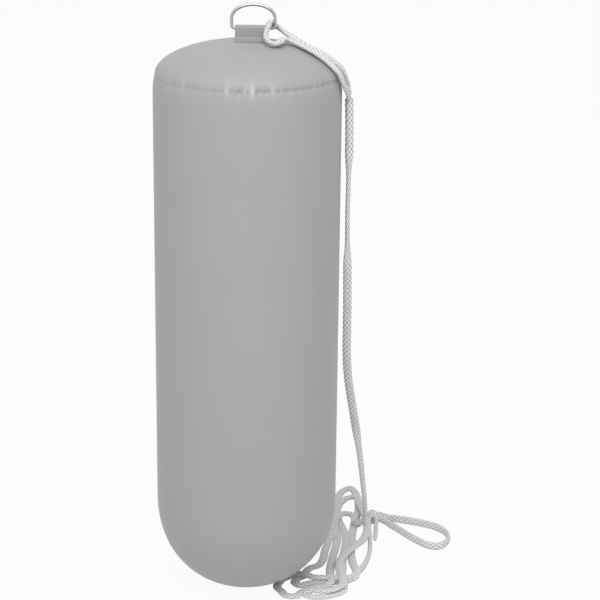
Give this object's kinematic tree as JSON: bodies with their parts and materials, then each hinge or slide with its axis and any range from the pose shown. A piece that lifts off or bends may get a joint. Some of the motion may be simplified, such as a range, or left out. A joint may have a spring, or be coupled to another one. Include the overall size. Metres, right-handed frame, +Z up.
{
  "type": "pneumatic fender",
  "caption": "Inflated cylindrical boat fender with a domed top, welded seam, tab with a steel D-ring, valve and a white braided line spliced to the ring.",
  "frame": {"origin": "inside top of the D-ring's opening, where the fender hangs", "axes": "+Z up along the hanging fender, +X to the right along the ring's bar, -Y towards the front of the picture"},
  "size_m": [0.3403, 0.3506, 0.6557],
  "materials": {
    "pvc_sheet": "satin grey PVC sheet",
    "pvc_tab": "satin grey PVC strip",
    "steel_wire": "polished stainless wire",
    "valve_plastic": "moulded grey plastic",
    "white_braid": "white hollow braid"
  },
  "bodies": {
    "ring": {"d_ring": "steel_wire"},
    "fender": {"inflated_envelope": "pvc_sheet", "crown_patch": "pvc_tab", "ring_tab": "pvc_tab", "valve_base": "valve_plastic", "line_ring_eye": "white_braid", "line_splice": "white_braid", "line_fall": "white_braid", "line_hank": "white_braid", "line_strand": "white_braid", "line_knot": "white_braid", "line_end_eye": "white_braid", "line_tail": "white_braid"},
    "stopper": {"valve_stopper": "valve_plastic"}
  },
  "joints": [
    {"name": "ring_swing", "type": "hinge", "parent": "ring", "child": "fender", "pos_m": [0, 0, -0.0229], "axis": [1, 0, 0], "range_deg": [-90, 0]},
    {"name": "stopper_pull", "type": "slide", "parent": "fender", "child": "stopper", "axis": [0, 0.2599, 0.9656], "range_m": [0, 0.012]}
  ]
}
